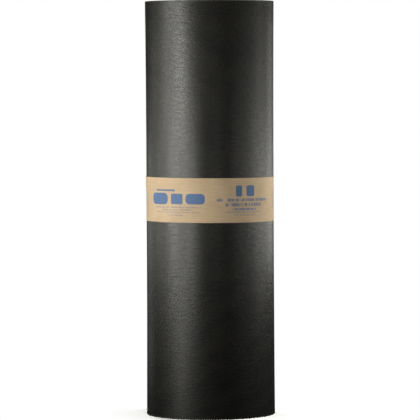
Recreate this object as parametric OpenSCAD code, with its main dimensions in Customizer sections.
// A roll of roofing felt standing on its end, held shut by a paper band.
// The roll's axis is Z, its origin is the centre of the end it stands on, and sizes are in mm.

/* [Roll] */
// Width of the felt, which is the height of the standing roll
felt_w = 914.4; // [400:0.1:1200]
// Diameter of the roll at its two ends
end_d = 287; // [220:0.5:400]
// How much slimmer the roll is in diameter where the band grips it
waist_cut = 3; // [0:0.5:10]
// Diameter of the open hole that the felt is wound around
bore_d = 76; // [40:0.5:120]

/* [Felt] */
// Thickness of the felt sheet
felt_t = 0.9; // [0.6:0.05:2]
// Air left between one turn and the next
turn_gap = 0.48; // [0.2:0.01:1]
// Depth to which the gap between two turns is open at the ends
gap_depth = 0.6; // [0.2:0.1:1.5]

/* [Band] */
// Height of the paper band
band_h = 97.5; // [40:0.5:160]
// Height of the band's middle above the roll's own middle
band_rise = 21; // [-300:1:300]
// Thickness of the paper
paper_t = 0.25; // [0.1:0.05:0.6]
// Length by which the band's glued end laps over its start
lap_l = 40; // [15:1:80]
// Direction of the lap around the roll, in degrees
lap_turn = 110; // [0:5:355]

/* [Finish] */
// Height of the straight wall left above and below the band
seat_margin = 6; // [2:1:20]
// Steps in each of the two flares from the waist to an end
flare_steps = 10; // [4:1:16]
// Segments in a full circle
$fn = 120; // [72:12:180]

/* [Hidden] */

end_r = end_d / 2;
waist_r = end_r - waist_cut / 2;
bore_r = bore_d / 2;

// The sheet lies one turn_pitch further out with each turn, so the roll's size sets its turns.
turn_pitch = felt_t + turn_gap;
turns = floor((end_r - bore_r) / turn_pitch);

// The band lies on a straight stretch of wall, and the wall flares from there to both ends.
band_low = felt_w / 2 + band_rise - band_h / 2;
seat_low = band_low - seat_margin;
seat_high = band_low + band_h + seat_margin;

// Radius of the outer wall when a share s of a flare's length, from 0 to 1, is passed.
function flare_r(s) = waist_r + (end_r - waist_r) * s * s;

lower_flare = [
    for (i = [flare_steps:-1:1])
        let (s = i / flare_steps) [flare_r(s), seat_low * (1 - s)]
];
upper_flare = [
    for (i = [1:flare_steps])
        let (s = i / flare_steps) [flare_r(s), seat_high + (felt_w - seat_high) * s]
];

// The open gaps between turns, as V notches across one end from the outside inwards.
// z is the height of the end, and into is 1 or -1 for the way into the felt.
function notches(z, into) = [
    for (turn = [1:turns - 1])
        let (land_r = end_r - turn * turn_pitch)
        each [
            [land_r + turn_gap, z],
            [land_r + turn_gap / 2, z + into * gap_depth],
            [land_r, z]
        ]
];

// The same points in the opposite order.
function reversed(points) = [for (i = [len(points) - 1:-1:0]) points[i]];

// Half of the roll's lengthwise section, from the bore across the lower end and up the wall.
roll_section = concat(
    [[bore_r, 0]],
    reversed(notches(0, 1)),
    lower_flare,
    [[waist_r, seat_low], [waist_r, seat_high]],
    upper_flare,
    notches(felt_w, -1),
    [[bore_r, felt_w]]
);

// The wound felt, as one turned solid with its open bore and its turns showing at both ends.
module felt_roll() {
    color([0.17, 0.17, 0.15])
        rotate_extrude()
            polygon(roll_section);
}

// One thickness of the band's paper, that many degrees around the roll from the lap's start.
module paper_layer(inner_r, sweep) {
    rotate([0, 0, lap_turn])
        rotate_extrude(angle = sweep)
            translate([inner_r, band_low])
                square([paper_t, band_h]);
}

// The paper band round the waist, with its end lapped over its start.
module label_band() {
    color([0.74, 0.62, 0.47])
        union() {
            paper_layer(waist_r, 360);
            paper_layer(waist_r + paper_t, lap_l / (waist_r + paper_t) * 180 / PI);
        }
}

felt_roll();
label_band();
